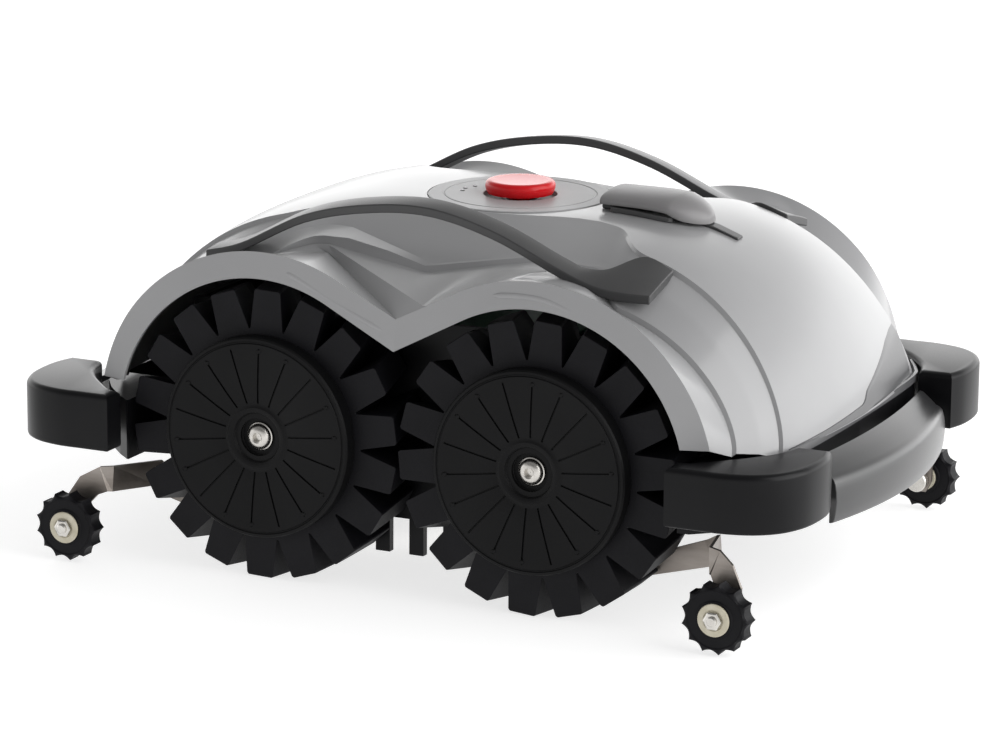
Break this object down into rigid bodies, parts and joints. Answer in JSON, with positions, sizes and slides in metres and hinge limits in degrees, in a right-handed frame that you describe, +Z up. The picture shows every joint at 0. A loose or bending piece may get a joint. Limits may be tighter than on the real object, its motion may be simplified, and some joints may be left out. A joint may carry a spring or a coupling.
{
  "type": "robotic lawn mower",
  "caption": "Robotic lawn mower with a domed grey shell, carrying straps, red stop button, paddle-tread drive wheels, small toothed guide wheels on bent arms and black bumpers.",
  "frame": {"origin": "on the ground, in the middle of the machine's length and width", "axes": "+X forward (the way the connector lid's nose points), +Y to the machine's left, +Z up"},
  "size_m": [0.503, 0.3504, 0.2205],
  "materials": {
    "silver_plastic": "glossy silver-grey moulding",
    "grey_plastic": "satin grey",
    "dark_plastic": "matt dark grey",
    "black_plastic": "semi-gloss black",
    "red_plastic": "glossy red",
    "rubber": "black moulded rubber",
    "steel": "bright stainless",
    "bare_steel": "plain bent strip",
    "spring_steel": "plain wire",
    "motor_steel": "zinc plated",
    "bush_nylon": "natural nylon",
    "blue_wrap": "shrink wrap",
    "board_green": "coated circuit board"
  },
  "bodies": {
    "frame_body": {"shell": "silver_plastic", "left_handle": "dark_plastic", "right_handle": "dark_plastic", "keypad_panel": "grey_plastic", "button_spring": "spring_steel", "connector_base": "dark_plastic", "chassis": "black_plastic", "battery_cover": "black_plastic", "front_deck": "black_plastic", "rear_deck": "black_plastic", "battery": "blue_wrap", "control_board": "board_green", "blade_motor": "motor_steel", "front_left_corner": "black_plastic", "gearmotor_front_left": "motor_steel", "guide_axle_front_left": "steel", "guide_arm_front_left": "bare_steel", "front_right_corner": "black_plastic", "gearmotor_front_right": "motor_steel", "guide_axle_front_right": "steel", "guide_arm_front_right": "bare_steel", "rear_left_corner": "black_plastic", "gearmotor_rear_left": "motor_steel", "guide_axle_rear_left": "steel", "guide_arm_rear_left": "bare_steel", "rear_right_corner": "black_plastic", "gearmotor_rear_right": "motor_steel", "guide_axle_rear_right": "steel", "guide_arm_rear_right": "bare_steel"},
    "drive_wheel_front_left": {"tyre_front_left": "rubber", "wheel_disc_front_left": "black_plastic", "axle_front_left": "steel", "wheel_bolt_front_left": "steel"},
    "guide_front_left": {"guide_wheel_front_left": "rubber", "guide_bush_front_left": "bush_nylon"},
    "drive_wheel_front_right": {"tyre_front_right": "rubber", "wheel_disc_front_right": "black_plastic", "axle_front_right": "steel", "wheel_bolt_front_right": "steel"},
    "guide_front_right": {"guide_wheel_front_right": "rubber", "guide_bush_front_right": "bush_nylon"},
    "drive_wheel_rear_left": {"tyre_rear_left": "rubber", "wheel_disc_rear_left": "black_plastic", "axle_rear_left": "steel", "wheel_bolt_rear_left": "steel"},
    "guide_rear_left": {"guide_wheel_rear_left": "rubber", "guide_bush_rear_left": "bush_nylon"},
    "drive_wheel_rear_right": {"tyre_rear_right": "rubber", "wheel_disc_rear_right": "black_plastic", "axle_rear_right": "steel", "wheel_bolt_rear_right": "steel"},
    "guide_rear_right": {"guide_wheel_rear_right": "rubber", "guide_bush_rear_right": "bush_nylon"},
    "cutting_blade": {"blade": "steel", "blade_hub": "steel", "blade_screw": "black_plastic"},
    "button": {"stop_button": "red_plastic"},
    "front_bar": {"front_bumper": "black_plastic"},
    "rear_bar": {"rear_bumper": "black_plastic"},
    "lid": {"connector_lid": "dark_plastic"}
  },
  "joints": [
    {"name": "drive_spin_front_left", "type": "hinge", "parent": "frame_body", "child": "drive_wheel_front_left", "pos_m": [0.0845, 0.13, 0.0842], "axis": [0, 1, 0], "continuous": true},
    {"name": "guide_spin_front_left", "type": "hinge", "parent": "frame_body", "child": "guide_front_left", "pos_m": [0.202, 0.1645, 0.0206], "axis": [0, 1, 0], "continuous": true},
    {"name": "drive_spin_front_right", "type": "hinge", "parent": "frame_body", "child": "drive_wheel_front_right", "pos_m": [0.0845, -0.13, 0.0842], "axis": [0, 1, 0], "continuous": true},
    {"name": "guide_spin_front_right", "type": "hinge", "parent": "frame_body", "child": "guide_front_right", "pos_m": [0.202, -0.1645, 0.0206], "axis": [0, 1, 0], "continuous": true},
    {"name": "drive_spin_rear_left", "type": "hinge", "parent": "frame_body", "child": "drive_wheel_rear_left", "pos_m": [-0.0845, 0.13, 0.0842], "axis": [0, 1, 0], "continuous": true},
    {"name": "guide_spin_rear_left", "type": "hinge", "parent": "frame_body", "child": "guide_rear_left", "pos_m": [-0.202, 0.1645, 0.0206], "axis": [0, 1, 0], "continuous": true},
    {"name": "drive_spin_rear_right", "type": "hinge", "parent": "frame_body", "child": "drive_wheel_rear_right", "pos_m": [-0.0845, -0.13, 0.0842], "axis": [0, 1, 0], "continuous": true},
    {"name": "guide_spin_rear_right", "type": "hinge", "parent": "frame_body", "child": "guide_rear_right", "pos_m": [-0.202, -0.1645, 0.0206], "axis": [0, 1, 0], "continuous": true},
    {"name": "blade_spin", "type": "hinge", "parent": "frame_body", "child": "cutting_blade", "pos_m": [0, 0, 0.0222], "axis": [0, 0, 1], "continuous": true},
    {"name": "button_press", "type": "slide", "parent": "frame_body", "child": "button", "axis": [0, 0, -1], "range_m": [0, 0.003], "stiffness_N_per_m": 400, "springref_m": -0.003, "deforming": ["button_spring"]},
    {"name": "front_bumper_push", "type": "slide", "parent": "frame_body", "child": "front_bar", "axis": [-1, 0, 0], "range_m": [0, 0.005], "stiffness_N_per_m": 900, "springref_m": -0.003},
    {"name": "rear_bumper_push", "type": "slide", "parent": "frame_body", "child": "rear_bar", "axis": [1, 0, 0], "range_m": [0, 0.005], "stiffness_N_per_m": 900, "springref_m": -0.003},
    {"name": "lid_hinge", "type": "hinge", "parent": "frame_body", "child": "lid", "pos_m": [0.066, 0, 0.20968], "axis": [0, -1, 0], "range_deg": [0, 80]}
  ]
}
